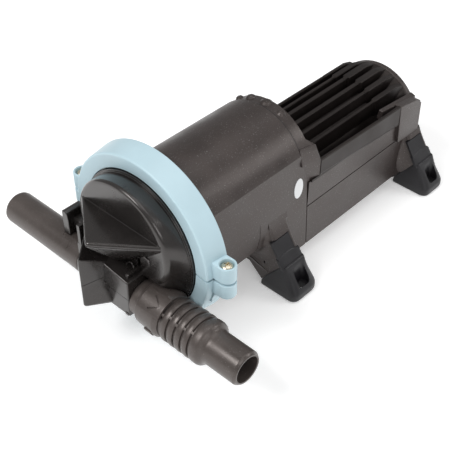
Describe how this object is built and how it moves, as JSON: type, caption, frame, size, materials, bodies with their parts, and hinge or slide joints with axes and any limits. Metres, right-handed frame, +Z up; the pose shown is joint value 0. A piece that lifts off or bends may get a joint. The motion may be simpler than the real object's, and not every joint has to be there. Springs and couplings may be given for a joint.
{
  "type": "electric diaphragm pump",
  "caption": "Electric diaphragm bilge pump: motor and gearbox body on rubber feet, clamp-ring pump head with a smooth inlet tail and a bellows outlet tail.",
  "frame": {"origin": "centre of the four foot slots, on the surface that the feet stand on", "axes": "+Z up, +Y along the pump from the head to the motor, +X towards the outlet tail"},
  "size_m": [0.231, 0.3325, 0.1419],
  "materials": {
    "blue_ring": "satin moulded",
    "zinc_screws": "passivated",
    "head_black": "satin glass-filled nylon",
    "nozzle_grey": "satin",
    "body_black": "fine texture",
    "cover_black": "satin",
    "foot_rubber": "matt",
    "soft_rubber": "matt",
    "inner_plastic": "satin",
    "wheel_nylon": "satin",
    "steel": "turned",
    "bronze": "sintered",
    "copper": "bare",
    "ferrite": "matt",
    "card": "matt",
    "white_dot": "matt"
  },
  "bodies": {
    "body": {"clamp_ring_upper": "blue_ring", "clamp_ring_lower": "blue_ring", "clamp_screws": "zinc_screws", "clamp_nuts": "zinc_screws", "diaphragm": "soft_rubber", "gear_housing": "body_black", "wheel_bushes": "bronze", "worm_bush": "bronze", "motor_can": "steel", "magnets": "ferrite", "front_bearing": "steel", "rear_bearing": "steel", "end_cap": "steel", "brush_card": "card", "brushes": "ferrite", "housing_gasket": "soft_rubber", "motor_housing": "body_black", "motor_cover": "cover_black", "base_tray": "body_black", "housing_screws": "zinc_screws", "cable_gland": "head_black", "inspection_dot": "white_dot", "foot_front_right": "foot_rubber", "foot_front_left": "foot_rubber", "foot_rear_right": "foot_rubber", "foot_rear_left": "foot_rubber"},
    "head": {"pump_head": "head_black", "inlet_nozzle": "nozzle_grey", "outlet_nozzle": "nozzle_grey", "inlet_clip": "head_black", "outlet_clip": "head_black", "inlet_seat": "inner_plastic", "outlet_seat": "inner_plastic"},
    "inlet_valve": {"inlet_flap": "soft_rubber"},
    "outlet_valve": {"outlet_flap": "soft_rubber"},
    "rotor": {"motor_shaft": "steel", "worm": "steel", "armature_core": "steel", "windings": "copper", "commutator": "copper"},
    "crank": {"worm_wheel": "wheel_nylon", "eccentric_shaft": "steel"},
    "rod": {"connecting_rod": "inner_plastic", "rod_bearings": "steel", "front_plate": "inner_plastic", "rear_plate": "steel", "diaphragm_screw": "steel"}
  },
  "joints": [
    {"name": "motor_spin", "type": "hinge", "parent": "body", "child": "rotor", "pos_m": [0, -0.0025, 0.051], "axis": [0, 1, 0], "continuous": true},
    {"name": "crank_spin", "type": "hinge", "parent": "body", "child": "crank", "pos_m": [0, -0.1165, 0.076], "axis": [1, 0, 0], "continuous": true},
    {"name": "rod_hinge", "type": "hinge", "parent": "crank", "child": "rod", "pos_m": [0, -0.121, 0.076], "axis": [1, 0, 0], "continuous": true, "deforming": ["diaphragm"]},
    {"name": "head_swivel", "type": "hinge", "parent": "body", "child": "head", "pos_m": [0, -0.1825, 0.076], "axis": [0, 1, 0], "range_deg": [-15, 15]},
    {"name": "inlet_flap_hinge", "type": "hinge", "parent": "head", "child": "inlet_valve", "pos_m": [-0.0231, -0.1997, 0.055], "axis": [0, -1, 0], "range_deg": [0, 30], "stiffness_Nm_per_rad": 0.002},
    {"name": "outlet_flap_hinge", "type": "hinge", "parent": "head", "child": "outlet_valve", "pos_m": [0.0065, -0.1997, 0.055], "axis": [0, -1, 0], "range_deg": [0, 30], "stiffness_Nm_per_rad": 0.002}
  ],
  "couplings": [
    {"joint": "crank_spin", "follows": "motor_spin", "ratio": -0.033333},
    {"joint": "rod_hinge", "follows": "motor_spin", "ratio": 0.033333}
  ]
}
